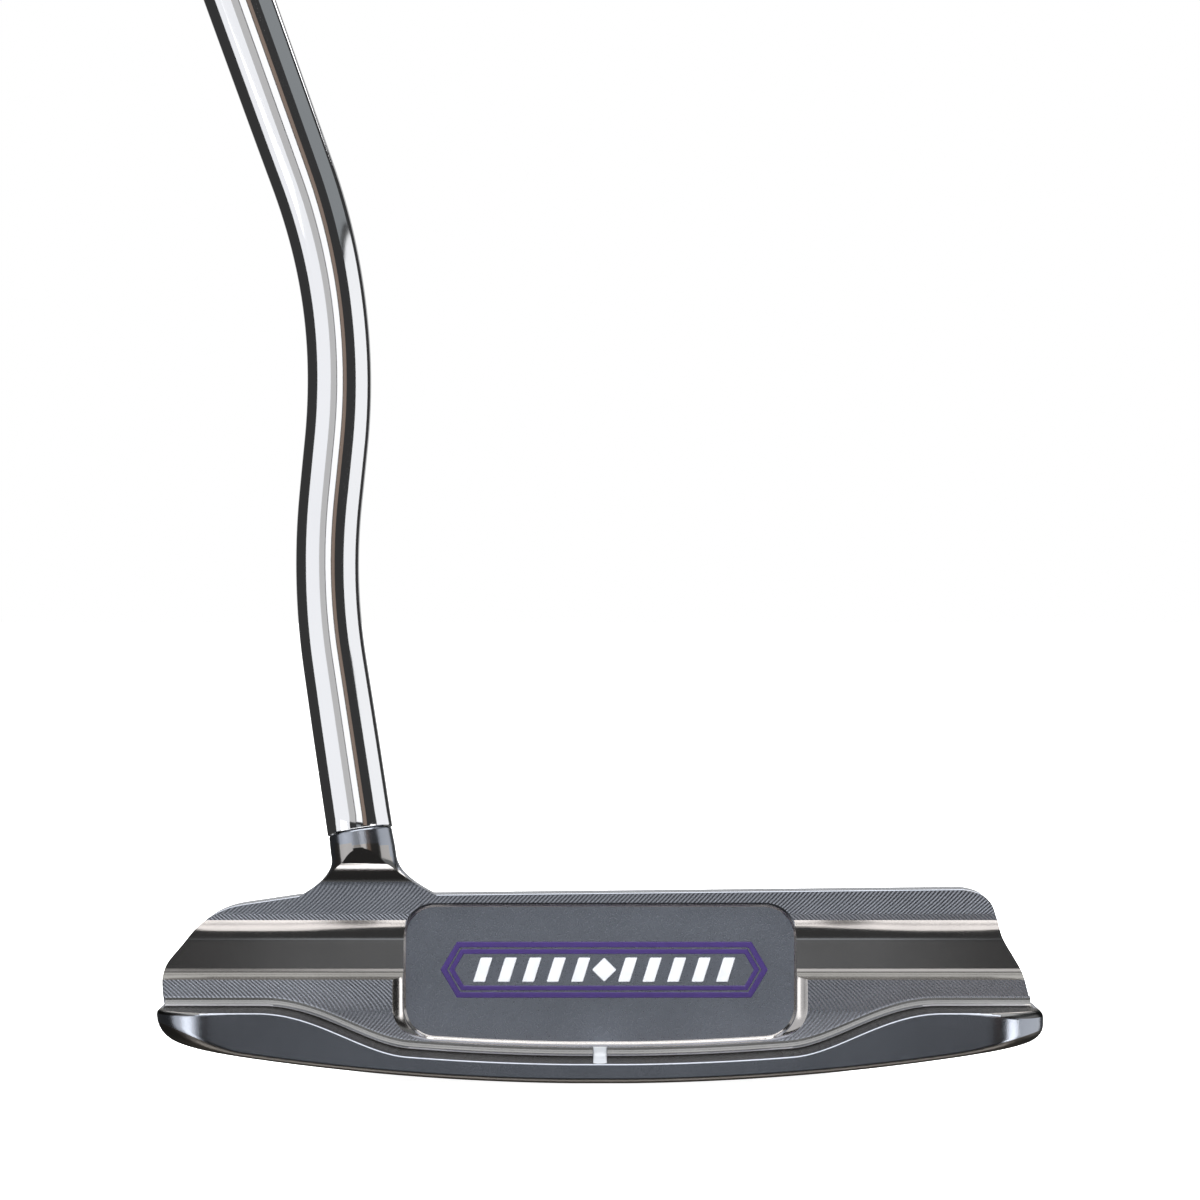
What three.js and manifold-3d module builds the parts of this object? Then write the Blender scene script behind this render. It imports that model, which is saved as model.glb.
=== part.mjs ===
// Right-handed heel-shafted blade putter, at address: sole on Z = 0, X from heel to toe, Y towards the
// target, Z up. Millimetres. The shapes have Y = 0 at the flange's rear, and the group at the end moves them.
import * as THREE from "three";
import { mergeVertices } from "three/addons/utils/BufferGeometryUtils.js";
import Module from "manifold-3d";

const wasm = await Module();
wasm.setup();

// Head
const HALF_LENGTH = 62.8; // half of the head, heel to toe
const BACK_Y = 11; // the blade's rear plane, which is also the flange's depth
const FACE_Y = 18.4; // the striking face at the ground
const LOFT = THREE.MathUtils.degToRad(3);
const TOPLINE_Z = 26.5;
const CAMBER_RADIUS = 345; // of the sole, heel to toe
const SOLE_FLAT = 4; // half width of the flat strip in the sole's middle
const FLANGE_THICKNESS = 2.8; // in the middle
const BUMPER_Z = 9.9; // top of the heel and toe bumpers
const SWEEP_START = 27; // where the flange starts to rise to a bumper, from the middle
const SWEEP_END = 48;
const CORNER_RADIUS = 8; // of the flange's rear corners, in plan
const FRONT_CORNER_RADIUS = 2;
const SAMPLE_STEP = 3; // spacing of points along a curve given by a formula
const OVERSIZE = 80; // reach of a cutter past the head

// Channel across the rear plane
const CHANNEL_DEPTH = 1.15;
const CHANNEL_TOP_Z = 22.1;
const CHANNEL_BOTTOM_Z = 13.6;
const CHANNEL_TOP_RADIUS = 5.7;
const CHANNEL_BOTTOM_RADIUS = 1.7;

// Badge pocket
const POCKET = { halfWidth: 27.85, top: 23.95, bottom: 4.5, radius: 4.4, depth: 2.2 };
const RECESS = { halfTop: 28.2, halfWidth: 29.6, top: 24.6, bottom: 4.05, radius: 4.6, depth: 1.7 };
const BADGE = { x: 0.6, z: 14.87, halfLength: 23.4, halfHeight: 4, tip: 2.35, height: 0.3 };
const OUTER_LINE = [0, 0.8]; // the purple lines, from and to this far inside the badge's outline
const INNER_LINE = [1.05, 1.73];
const MOTIF = { bars: 5, pitch: 3.5, width: 1.7, height: 3.5, lean: 1.1, firstBar: 3.35, thickness: 0.35 };

// Sight mark
const SIGHT_WIDTH = 2;
const SIGHT_DEPTH = 0.4;
const SIGHT_END_Y = 0.55; // its round end, from the flange's rear edge
const PAINT_GAP = 0.1;

// Neck and shaft
const NECK_RADIUS = 4.55;
const NECK_CUT = { z: 26.9, facetZ: 30.25, facetY: 9.87, apexZ: 32.75, apexY: 9 };
const POST_RADIUS = 3.5;
const POST_LENGTH = 20;
const RIM = new THREE.Vector3(-34.3, 14, 34.5); // where the shaft's tip meets the neck
const LOWER_BEND = new THREE.Vector3(-40.05, 19.4, 70.5);
const UPPER_BEND = new THREE.Vector3(-36.2, 21.2, 110.2);
const LIE = THREE.MathUtils.degToRad(70.2); // of the upper shaft, above the ground
const LOWER_TANGENT = 12; // length of shaft that each side of a bend takes
const UPPER_TANGENT = 20;
const UPPER_LENGTH = 769; // from the upper bend to the butt
const TIP_RADIUS = 4.7;
const BUTT_RADIUS = 7.5;
const WALL = 0.6;
const TIP_GAP = 0.15;
const PARALLEL_TIP = 60; // the shaft's taper starts this far up
const ROUND = 32; // segments round every turned piece
const EPOXY = { inner: 3.65, outer: 4.0, start: 0.5, end: 19.5 };

// Grip
const GRIP_LENGTH = 267;
const GRIP_FLAT = 9.2; // from the shaft's axis to the grip's flat front
const TAPE_INNER = 0.1; // radii past the shaft's own
const TAPE_OUTER = 0.4;
const GRIP_BORE = 0.5;
const TAPE_LENGTH = 255;
const CAP_THICKNESS = 3;
const CAP_VENT = 1;
const CAP_GAP = 0.15;
const GRIP_OUTLINE = [
  [0, 9.6],
  [0.03, 10.2],
  [0.3, 10.8],
  [0.55, 11.4],
  [0.75, 13.2],
  [0.88, 14.4],
  [0.96, 13.8],
  [1, 12.2],
];

const X_AXIS = new THREE.Vector3(1, 0, 0);
const Y_AXIS = new THREE.Vector3(0, 1, 0);
const Z_AXIS = new THREE.Vector3(0, 0, 1);

// Booleans
function solid(geometry) {
  const plain = geometry.index ? geometry.toNonIndexed() : geometry.clone();
  plain.deleteAttribute("normal");
  plain.deleteAttribute("uv");
  const merged = mergeVertices(plain, 1e-4);
  const mesh = new wasm.Mesh({
    numProp: 3,
    vertProperties: merged.attributes.position.array,
    triVerts: new Uint32Array(merged.index.array),
  });
  return new wasm.Manifold(mesh);
}

function geometryOf(body) {
  const mesh = body.getMesh();
  const geometry = new THREE.BufferGeometry();
  geometry.setAttribute("position", new THREE.BufferAttribute(mesh.vertProperties, mesh.numProp));
  geometry.setIndex(new THREE.BufferAttribute(mesh.triVerts, 1));
  const flat = geometry.toNonIndexed();
  flat.computeVertexNormals();
  return flat;
}

// Extrusions: a shape drawn in X and Z is pushed along Y, one in Y and Z along X, one in X and Y along Z.
function alongY(shape, from, to, curveSegments = 12) {
  const options = { depth: to - from, bevelEnabled: false, curveSegments };
  const geometry = new THREE.ExtrudeGeometry(shape, options);
  geometry.applyMatrix4(new THREE.Matrix4().makeBasis(X_AXIS, Z_AXIS, Y_AXIS.clone().negate()));
  return geometry.translate(0, to, 0);
}

function alongX(shape, from, to, curveSegments = 12) {
  const options = { depth: to - from, bevelEnabled: false, curveSegments };
  const geometry = new THREE.ExtrudeGeometry(shape, options);
  geometry.applyMatrix4(new THREE.Matrix4().makeBasis(Y_AXIS, Z_AXIS, X_AXIS));
  return geometry.translate(from, 0, 0);
}

function alongZ(shape, from, to, curveSegments = 12) {
  const options = { depth: to - from, bevelEnabled: false, curveSegments };
  return new THREE.ExtrudeGeometry(shape, options).translate(0, 0, from);
}

// Curves given by a formula
function camber(x) {
  const arc = (v) => CAMBER_RADIUS - Math.sqrt(CAMBER_RADIUS ** 2 - v ** 2);
  return Math.max(0, arc(x) - arc(SOLE_FLAT));
}

function flangeTop(x) {
  const rise = THREE.MathUtils.smoothstep(Math.abs(x), SWEEP_START, SWEEP_END);
  return THREE.MathUtils.lerp(camber(x) + FLANGE_THICKNESS, BUMPER_Z, rise);
}

function sampled(from, to, height) {
  const steps = Math.ceil(Math.abs(to - from) / SAMPLE_STEP);
  const points = [];
  for (let i = 0; i <= steps; i += 1) {
    const x = THREE.MathUtils.lerp(from, to, i / steps);
    points.push(new THREE.Vector2(x, height(x)));
  }
  return points;
}

function faceY(z) {
  return FACE_Y - z * Math.tan(LOFT);
}

// The blade above the flange, seen from behind
function bladeShape() {
  const insideFlange = (x) => camber(x) + 1.5;
  const shape = new THREE.Shape();
  shape.setFromPoints(sampled(-60.5, 60, insideFlange));
  shape.lineTo(61.9, 8);
  shape.splineThru([
    new THREE.Vector2(61, 11.8),
    new THREE.Vector2(60.2, 14.6),
    new THREE.Vector2(59, 16.8),
    new THREE.Vector2(57.5, 19.4),
    new THREE.Vector2(56.6, 22.2),
    new THREE.Vector2(56, 24.1),
  ]);
  shape.quadraticCurveTo(55.2, TOPLINE_Z, 51.8, TOPLINE_Z);
  shape.lineTo(-24.7, TOPLINE_Z);
  shape.quadraticCurveTo(-25.5, 26.55, -26.7, 27.6);
  shape.quadraticCurveTo(-28.2, 28.8, -28.8, 30.6);
  shape.lineTo(-38.5, 30.8);
  shape.quadraticCurveTo(-39, 25.6, -43.2, 25.5);
  shape.lineTo(-51, 24.3);
  shape.splineThru([
    new THREE.Vector2(-53.4, 23.65),
    new THREE.Vector2(-55.4, 22.65),
    new THREE.Vector2(-57.6, 20.9),
    new THREE.Vector2(-59.7, 18.4),
    new THREE.Vector2(-61.8, 15.9),
    new THREE.Vector2(-62.35, 13.8),
    new THREE.Vector2(-62.35, 12),
    new THREE.Vector2(-61.7, 8),
  ]);
  return shape;
}

// The flange with its two bumpers, seen from behind
function flangeShape() {
  const end = HALF_LENGTH;
  const shape = new THREE.Shape();
  shape.setFromPoints(sampled(-60, -SOLE_FLAT, camber).concat(sampled(SOLE_FLAT, 61, camber)));
  shape.quadraticCurveTo(end, camber(61) + 0.2, end, 7);
  shape.lineTo(end, 8.6);
  shape.quadraticCurveTo(end, BUMPER_Z, end - 1.4, BUMPER_Z);
  for (const point of sampled(SWEEP_END, -SWEEP_END, flangeTop)) shape.lineTo(point.x, point.y);
  shape.lineTo(-end + 0.7, BUMPER_Z);
  shape.quadraticCurveTo(-end, BUMPER_Z, -end, 9.2);
  shape.lineTo(-end, 8.5);
  shape.quadraticCurveTo(-end, 6, -60, camber(60));
  return shape;
}

// The whole sole in plan
function planShape() {
  const end = HALF_LENGTH;
  const front = FACE_Y + 1;
  const shape = new THREE.Shape();
  shape.moveTo(-end + CORNER_RADIUS, 0);
  shape.lineTo(end - CORNER_RADIUS, 0);
  shape.absarc(end - CORNER_RADIUS, CORNER_RADIUS, CORNER_RADIUS, -Math.PI / 2, 0);
  shape.lineTo(end, front - FRONT_CORNER_RADIUS);
  shape.absarc(end - FRONT_CORNER_RADIUS, front - FRONT_CORNER_RADIUS, FRONT_CORNER_RADIUS, 0, Math.PI / 2);
  shape.lineTo(-end + FRONT_CORNER_RADIUS, front);
  shape.absarc(
    -end + FRONT_CORNER_RADIUS,
    front - FRONT_CORNER_RADIUS,
    FRONT_CORNER_RADIUS,
    Math.PI / 2,
    Math.PI,
  );
  shape.lineTo(-end, CORNER_RADIUS);
  shape.absarc(-end + CORNER_RADIUS, CORNER_RADIUS, CORNER_RADIUS, Math.PI, Math.PI * 1.5);
  return shape;
}

// Everything in front of the striking face, up to a height
function faceCutter(top) {
  const shape = new THREE.Shape();
  shape.moveTo(faceY(-OVERSIZE), -OVERSIZE);
  shape.lineTo(OVERSIZE, -OVERSIZE);
  shape.lineTo(OVERSIZE, top);
  shape.lineTo(faceY(top), top);
  return solid(alongX(shape, -OVERSIZE, OVERSIZE));
}

function channelCutter() {
  const floor = BACK_Y + CHANNEL_DEPTH;
  const topSweep = Math.acos(1 - CHANNEL_DEPTH / CHANNEL_TOP_RADIUS);
  const bottomSweep = Math.acos(1 - CHANNEL_DEPTH / CHANNEL_BOTTOM_RADIUS);
  const topCentre = CHANNEL_TOP_Z - CHANNEL_TOP_RADIUS * Math.sin(topSweep);
  const bottomCentre = CHANNEL_BOTTOM_Z + CHANNEL_BOTTOM_RADIUS * Math.sin(bottomSweep);
  const shape = new THREE.Shape();
  shape.moveTo(0, CHANNEL_BOTTOM_Z);
  shape.lineTo(BACK_Y, CHANNEL_BOTTOM_Z);
  shape.absarc(floor - CHANNEL_BOTTOM_RADIUS, bottomCentre, CHANNEL_BOTTOM_RADIUS, -bottomSweep, 0);
  shape.absarc(floor - CHANNEL_TOP_RADIUS, topCentre, CHANNEL_TOP_RADIUS, 0, topSweep);
  shape.lineTo(0, CHANNEL_TOP_Z);
  return solid(alongX(shape, -OVERSIZE, OVERSIZE, 6));
}

// The pocket's floor outline: a rounded rectangle whose lower side follows the sole
function pocketShape() {
  const { halfWidth, top, bottom, radius } = POCKET;
  const inner = halfWidth - radius;
  const lowerSide = (x) => bottom + camber(x);
  const cornerZ = lowerSide(inner) + radius;
  const shape = new THREE.Shape();
  shape.setFromPoints(sampled(-inner, inner, lowerSide));
  shape.absarc(inner, cornerZ, radius, -Math.PI / 2, 0);
  shape.absarc(inner, top - radius, radius, 0, Math.PI / 2);
  shape.absarc(-inner, top - radius, radius, Math.PI / 2, Math.PI);
  shape.absarc(-inner, cornerZ, radius, Math.PI, Math.PI * 1.5);
  return shape;
}

// The shallower recess round the pocket, which widens downwards
function recessShape() {
  const { halfTop, halfWidth, top, bottom, radius } = RECESS;
  const lowerSide = (x) => bottom + camber(x);
  const inner = halfWidth - radius - 2;
  const shape = new THREE.Shape();
  shape.setFromPoints(sampled(-inner, inner, lowerSide));
  shape.bezierCurveTo(inner + 4, lowerSide(inner) + 0.4, halfWidth, 7.5, halfWidth, 11.5);
  shape.bezierCurveTo(halfWidth, 16, halfTop + 0.7, 18.5, halfTop, 21);
  shape.absarc(halfTop - radius, top - radius, radius, 0, Math.PI / 2);
  shape.absarc(-halfTop + radius, top - radius, radius, Math.PI / 2, Math.PI);
  shape.lineTo(-halfTop, 21);
  shape.bezierCurveTo(-halfTop - 0.7, 18.5, -halfWidth, 16, -halfWidth, 11.5);
  shape.bezierCurveTo(-halfWidth, 7.5, -inner - 4, lowerSide(inner) + 0.4, -inner, lowerSide(inner));
  return shape;
}

// The sight mark in plan, smaller on every side by a gap
function sightPlan(gap) {
  const half = SIGHT_WIDTH / 2 - gap;
  const centre = SIGHT_END_Y + SIGHT_WIDTH / 2;
  const shape = new THREE.Shape();
  shape.moveTo(half, centre);
  shape.lineTo(half, BACK_Y + SIGHT_DEPTH);
  shape.lineTo(-half, BACK_Y + SIGHT_DEPTH);
  shape.lineTo(-half, centre);
  shape.absarc(0, centre, half, Math.PI, Math.PI * 2);
  return shape;
}

// The slot is open above the flange, so it reaches up into the pocket.
function sightSlot() {
  return solid(alongZ(sightPlan(0), FLANGE_THICKNESS - SIGHT_DEPTH, BADGE.z));
}

// The paint lies along the flange's top and up the rear plane to the pocket.
function sightPaint() {
  const thickness = SIGHT_DEPTH - PAINT_GAP;
  const floor = FLANGE_THICKNESS - SIGHT_DEPTH;
  const wall = BACK_Y + SIGHT_DEPTH;
  const shape = new THREE.Shape();
  shape.moveTo(0, floor);
  shape.lineTo(wall, floor);
  shape.lineTo(wall, RECESS.bottom);
  shape.lineTo(wall - thickness, RECESS.bottom);
  shape.lineTo(wall - thickness, floor + thickness);
  shape.lineTo(0, floor + thickness);
  const side = solid(alongX(shape, -SIGHT_WIDTH, SIGHT_WIDTH));
  return geometryOf(solid(alongZ(sightPlan(PAINT_GAP), 0, TOPLINE_Z)).intersect(side));
}

// A turned piece on the lower shaft's axis, from a distance above the rim
function turnedOnRim(radius, from, to) {
  const direction = LOWER_BEND.clone().sub(RIM).normalize();
  const geometry = new THREE.CylinderGeometry(radius, radius, to - from, ROUND);
  geometry.applyQuaternion(new THREE.Quaternion().setFromUnitVectors(Y_AXIS, direction));
  const middle = RIM.clone().addScaledVector(direction, (from + to) / 2);
  return solid(geometry.translate(middle.x, middle.y, middle.z));
}

// What the cutter leaves behind the neck: a slanted facet over a concave sweep down to the rear plane
function neckRearCutter() {
  const { z, facetZ, facetY, apexZ, apexY } = NECK_CUT;
  const shape = new THREE.Shape();
  shape.moveTo(0, 0);
  shape.lineTo(BACK_Y, 0);
  shape.lineTo(BACK_Y, z);
  shape.quadraticCurveTo(BACK_Y, z + 1.8, facetY, facetZ);
  shape.lineTo(apexY, apexZ);
  shape.lineTo(0, apexZ);
  return solid(alongX(shape, -OVERSIZE, OVERSIZE, 6));
}

function headBody() {
  const plan = solid(alongZ(planShape(), -1, BUMPER_Z + 1, 8));
  const flange = solid(alongY(flangeShape(), -1, FACE_Y + 1, 6)).intersect(plan);
  const blade = solid(alongY(bladeShape(), BACK_Y, FACE_Y + 1, 4));
  const neck = turnedOnRim(NECK_RADIUS, -14, 0).subtract(neckRearCutter());
  const post = turnedOnRim(POST_RADIUS, -1, POST_LENGTH);
  const pocket = solid(alongY(pocketShape(), 0, BACK_Y + POCKET.depth, 6));
  const recess = solid(alongY(recessShape(), 0, BACK_Y + RECESS.depth, 6));
  return blade
    .subtract(channelCutter())
    .subtract(recess)
    .subtract(pocket)
    .subtract(faceCutter(OVERSIZE))
    .add(flange)
    .add(neck)
    .subtract(faceCutter(TOPLINE_Z))
    .add(post)
    .subtract(sightSlot());
}

// Badge
function hexagon(inset) {
  const slope = Math.atan2(BADGE.halfHeight, BADGE.tip);
  const halfHeight = BADGE.halfHeight - inset;
  const halfLength = BADGE.halfLength - inset / Math.sin(slope);
  const corner = halfLength - halfHeight / Math.tan(slope);
  const outline = [
    [halfLength, 0],
    [corner, halfHeight],
    [-corner, halfHeight],
    [-halfLength, 0],
    [-corner, -halfHeight],
    [corner, -halfHeight],
  ];
  return outline.map(([x, z]) => new THREE.Vector2(BADGE.x + x, BADGE.z + z));
}

function badgeLine([outside, inside]) {
  const shape = new THREE.Shape(hexagon(outside));
  shape.holes.push(new THREE.Path(hexagon(inside)));
  const floor = BACK_Y + POCKET.depth;
  return alongY(shape, floor - BADGE.height, floor);
}

function motifPiece(outline) {
  const points = outline.map(([x, z]) => new THREE.Vector2(BADGE.x + x, BADGE.z + z));
  const floor = BACK_Y + POCKET.depth;
  return alongY(new THREE.Shape(points), floor - MOTIF.thickness, floor);
}

function motifBar(x) {
  const half = MOTIF.width / 2;
  const top = MOTIF.height / 2;
  const lean = MOTIF.lean / 2;
  return motifPiece([
    [x - half - lean, -top],
    [x + half - lean, -top],
    [x + half + lean, top],
    [x - half + lean, top],
  ]);
}

function motifLozenge() {
  const half = MOTIF.height / 2;
  return motifPiece([
    [half, 0],
    [0, half],
    [-half, 0],
    [0, -half],
  ]);
}

// Shaft: straight, two bends, straight
function shaftPath() {
  const middle = UPPER_BEND.clone().sub(LOWER_BEND).normalize();
  const lower = LOWER_BEND.clone().sub(RIM).normalize();
  const upper = new THREE.Vector3(-Math.cos(LIE), 0, Math.sin(LIE));
  const before = (point, direction, length) => point.clone().addScaledVector(direction, -length);
  const after = (point, direction, length) => point.clone().addScaledVector(direction, length);
  const stops = [
    RIM,
    before(LOWER_BEND, lower, LOWER_TANGENT),
    after(LOWER_BEND, middle, LOWER_TANGENT),
    before(UPPER_BEND, middle, UPPER_TANGENT),
    after(UPPER_BEND, upper, UPPER_TANGENT),
    after(UPPER_BEND, upper, UPPER_LENGTH + CAP_THICKNESS * 2),
  ];
  const path = new THREE.CurvePath();
  path.add(new THREE.LineCurve3(stops[0], stops[1]));
  path.add(new THREE.QuadraticBezierCurve3(stops[1], LOWER_BEND, stops[2]));
  path.add(new THREE.LineCurve3(stops[2], stops[3]));
  path.add(new THREE.QuadraticBezierCurve3(stops[3], UPPER_BEND, stops[4]));
  path.add(new THREE.LineCurve3(stops[4], stops[5]));
  return path;
}

const PATH = shaftPath();
const PATH_LENGTH = PATH.getLength();
const BUTT = PATH_LENGTH - CAP_THICKNESS * 2; // the butt's distance along the path

function shaftRadius(s) {
  const taper = Math.max(0, s - PARALLEL_TIP) / (BUTT - PARALLEL_TIP);
  return THREE.MathUtils.lerp(TIP_RADIUS, BUTT_RADIUS, taper);
}

// Turns a profile of radius and distance, then carries it along the shaft's path. reshape changes a point
// of the turned piece first: x is towards the grip's flat front.
function turnedAlongPath(profile, reshape = (point) => point) {
  const points = profile.map(([radius, s]) => new THREE.Vector2(radius, s));
  points.push(points[0].clone());
  const geometry = new THREE.LatheGeometry(points, ROUND);
  const position = geometry.attributes.position;
  const local = new THREE.Vector3();
  for (let i = 0; i < position.count; i += 1) {
    reshape(local.fromBufferAttribute(position, i));
    const at = PATH.getPoint(local.y / PATH_LENGTH);
    const tangent = PATH.getTangent(local.y / PATH_LENGTH);
    const across = Y_AXIS.clone().addScaledVector(tangent, -tangent.y).normalize();
    const front = new THREE.Vector3().crossVectors(across, tangent);
    at.addScaledVector(front, local.x).addScaledVector(across, -local.z);
    position.setXYZ(i, at.x, at.y, at.z);
  }
  return geometryOf(solid(geometry));
}

function tube(stations, inner, outer) {
  const outside = stations.map((s) => [outer(s), s]);
  const inside = stations.map((s) => [inner(s), s]).reverse();
  return [...outside, ...inside];
}

function shaft() {
  const bendsEnd = 132;
  const step = 4;
  const stations = [TIP_GAP];
  for (let s = 20; s <= bendsEnd; s += step) stations.push(s);
  stations.push(BUTT);
  return turnedAlongPath(tube(stations, (s) => shaftRadius(s) - WALL, shaftRadius));
}

function epoxySleeve() {
  return turnedAlongPath(
    tube(
      [EPOXY.start, EPOXY.end],
      () => EPOXY.inner,
      () => EPOXY.outer,
    ),
  );
}

// The grip's flat front is a plane at GRIP_FLAT from the axis.
function flattened(point) {
  point.x = Math.min(point.x, GRIP_FLAT);
  return point;
}

function gripStation(share) {
  return BUTT - GRIP_LENGTH * (1 - share);
}

function grip() {
  const outside = GRIP_OUTLINE.map(([share, radius]) => [radius, gripStation(share)]);
  const bore = [1, 0].map((share) => {
    const s = gripStation(share);
    return [shaftRadius(s) + GRIP_BORE, s];
  });
  return turnedAlongPath([...outside, ...bore], flattened);
}

function gripTape() {
  const stations = [BUTT - TAPE_LENGTH, BUTT - 1];
  return turnedAlongPath(
    tube(
      stations,
      (s) => shaftRadius(s) + TAPE_INNER,
      (s) => shaftRadius(s) + TAPE_OUTER,
    ),
  );
}

function gripCap() {
  const rim = GRIP_OUTLINE.at(-1)[1];
  const base = BUTT + CAP_GAP;
  const profile = [
    [rim, base],
    [rim - 0.4, base + CAP_THICKNESS - 1],
    [rim - 2.4, base + CAP_THICKNESS],
    [CAP_VENT, base + CAP_THICKNESS],
    [CAP_VENT, base],
  ];
  return turnedAlongPath(profile, flattened);
}

// Assembly
function part(name, geometry, color, roughness, metalness) {
  const material = new THREE.MeshStandardMaterial({ color, roughness, metalness });
  const mesh = new THREE.Mesh(geometry, material);
  mesh.name = name;
  return mesh;
}

// The origin is the middle of the sole's flat strip, where the putter rests.
const SOLE_REST_Y = 9;
const putter = new THREE.Group();
putter.position.y = -SOLE_REST_Y;

const head = new THREE.Group();
head.add(part("head_body", geometryOf(headBody()), 0x4a4b50, 0.38, 0.9));
head.add(part("badge_outline_outer", badgeLine(OUTER_LINE), 0x43287e, 0.4, 0));
head.add(part("badge_outline_inner", badgeLine(INNER_LINE), 0x43287e, 0.4, 0));
head.add(part("badge_lozenge", motifLozenge(), 0xe9ebee, 0.4, 0));
for (let i = 0; i < MOTIF.bars; i += 1) {
  const x = MOTIF.firstBar + MOTIF.pitch * i;
  head.add(part(`badge_bar_heel_${i + 1}`, motifBar(-x), 0xe9ebee, 0.4, 0));
  head.add(part(`badge_bar_toe_${i + 1}`, motifBar(x), 0xe9ebee, 0.4, 0));
}
head.add(part("sight_mark_paint", sightPaint(), 0xe4e6ea, 0.5, 0));
putter.add(head);

const shaftAndGrip = new THREE.Group();
shaftAndGrip.add(part("shaft", shaft(), 0xd8dade, 0.08, 1));
shaftAndGrip.add(part("shaft_epoxy", epoxySleeve(), 0xb9a98a, 0.6, 0));
shaftAndGrip.add(part("grip_tape", gripTape(), 0xd9cfae, 0.8, 0));
shaftAndGrip.add(part("grip", grip(), 0x1b1b1e, 0.75, 0));
shaftAndGrip.add(part("grip_cap", gripCap(), 0x1b1b1e, 0.7, 0));
putter.add(shaftAndGrip);

export default putter;
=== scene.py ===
import math

import bmesh
import bpy
import numpy as np
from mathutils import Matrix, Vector


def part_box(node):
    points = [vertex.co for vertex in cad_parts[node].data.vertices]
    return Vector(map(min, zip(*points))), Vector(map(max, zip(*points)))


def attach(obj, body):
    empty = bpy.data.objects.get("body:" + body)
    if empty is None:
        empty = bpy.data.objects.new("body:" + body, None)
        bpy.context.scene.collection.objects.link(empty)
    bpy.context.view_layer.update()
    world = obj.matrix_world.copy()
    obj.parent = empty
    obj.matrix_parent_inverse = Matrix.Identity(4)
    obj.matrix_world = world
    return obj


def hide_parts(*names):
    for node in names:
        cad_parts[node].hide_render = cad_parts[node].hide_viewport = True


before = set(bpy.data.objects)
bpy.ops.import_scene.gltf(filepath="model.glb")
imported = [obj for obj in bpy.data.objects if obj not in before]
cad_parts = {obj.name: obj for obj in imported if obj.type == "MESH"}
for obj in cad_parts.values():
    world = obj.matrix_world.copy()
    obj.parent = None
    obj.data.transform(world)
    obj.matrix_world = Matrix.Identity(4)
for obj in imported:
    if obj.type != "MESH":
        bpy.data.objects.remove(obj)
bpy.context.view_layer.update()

# The camera stands straight behind the head, level, 0.6 m from the flange's rear, at the height of the lower
# shaft. The head fills three quarters of the picture's width.
CAMERA_DISTANCE = 0.609
CAMERA_HEIGHT = 0.0677
CAMERA_LENS = 128.7  # on a 36 mm sensor
lens = bpy.data.cameras.new("product_camera")
lens.lens = CAMERA_LENS
lens.sensor_width = 36.0
lens.clip_start = 0.01
lens.clip_end = 50.0
camera = bpy.data.objects.new("product_camera", lens)
camera.location = (0.0, -CAMERA_DISTANCE, CAMERA_HEIGHT)
camera.rotation_euler = (math.radians(90.0), 0.0, 0.0)
bpy.context.collection.objects.link(camera)
bpy.context.scene.camera = camera

# The stage is a white floor with no wall. It is lit from inside, so that it meets the pale room with no
# horizon. It doesn't show in polished pieces, so the soft boxes can reach below it.
FLOOR_REACH = 12.0
FLOOR_DROP = 0.0002  # below the sole, so that the two share no surface


def new_mesh_object(name, vertices, faces):
    mesh = bpy.data.meshes.new(name)
    mesh.from_pydata([tuple(v) for v in vertices], [], faces)
    mesh.update()
    thing = bpy.data.objects.new(name, mesh)
    bpy.context.collection.objects.link(thing)
    return thing


corner_ways = ((-1, -1), (1, -1), (1, 1), (-1, 1))
floor_corners = [(x * FLOOR_REACH, y * FLOOR_REACH, -FLOOR_DROP) for x, y in corner_ways]
floor = new_mesh_object("stage_floor", floor_corners, [(0, 1, 2, 3)])
floor_material = bpy.data.materials.new("white_floor")
floor_material.use_nodes = True
nodes = floor_material.node_tree.nodes
links = floor_material.node_tree.links
nodes.clear()
floor_output = nodes.new("ShaderNodeOutputMaterial")
floor_output.label = "floor surface"
floor_output.location = (400, 0)
floor_shader = nodes.new("ShaderNodeBsdfPrincipled")
floor_shader.label = "matt white, lit from inside"
floor_shader.location = (100, 0)
floor_shader.inputs["Base Color"].default_value = (0.85, 0.85, 0.85, 1.0)
floor_shader.inputs["Roughness"].default_value = 0.9
floor_shader.inputs["Specular IOR Level"].default_value = 0.0
floor_shader.inputs["Emission Color"].default_value = (1.0, 1.0, 1.0, 1.0)
floor_shader.inputs["Emission Strength"].default_value = 0.95
links.new(floor_shader.outputs["BSDF"], floor_output.inputs["Surface"])
floor.data.materials.append(floor_material)
floor.visible_glossy = False

# The light is a pale room and a ring of soft boxes and cards. Polished pieces see the room as dark, so that
# each soft box draws its own band along the shaft.
scene = bpy.context.scene
scene.view_settings.view_transform = "Standard"
world = bpy.data.worlds.new("studio_room")
world.use_nodes = True
nodes = world.node_tree.nodes
links = world.node_tree.links
nodes.clear()
room_output = nodes.new("ShaderNodeOutputWorld")
room_output.label = "room"
room_output.location = (300, 0)
room = nodes.new("ShaderNodeBackground")
room.label = "pale room"
room.location = (100, 0)
room.inputs["Color"].default_value = (1.0, 1.0, 1.0, 1.0)
room_ray = nodes.new("ShaderNodeLightPath")
room_ray.label = "seen in a polished piece or not"
room_ray.location = (-400, 0)
room_glow = nodes.new("ShaderNodeMapRange")
room_glow.label = "dark in polished pieces"
room_glow.location = (-150, 0)
room_glow.inputs["To Min"].default_value = 1.0
room_glow.inputs["To Max"].default_value = 0.04
links.new(room_ray.outputs["Is Glossy Ray"], room_glow.inputs["Value"])
links.new(room_glow.outputs["Result"], room.inputs["Strength"])
links.new(room.outputs["Background"], room_output.inputs["Surface"])
scene.world = world
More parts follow.
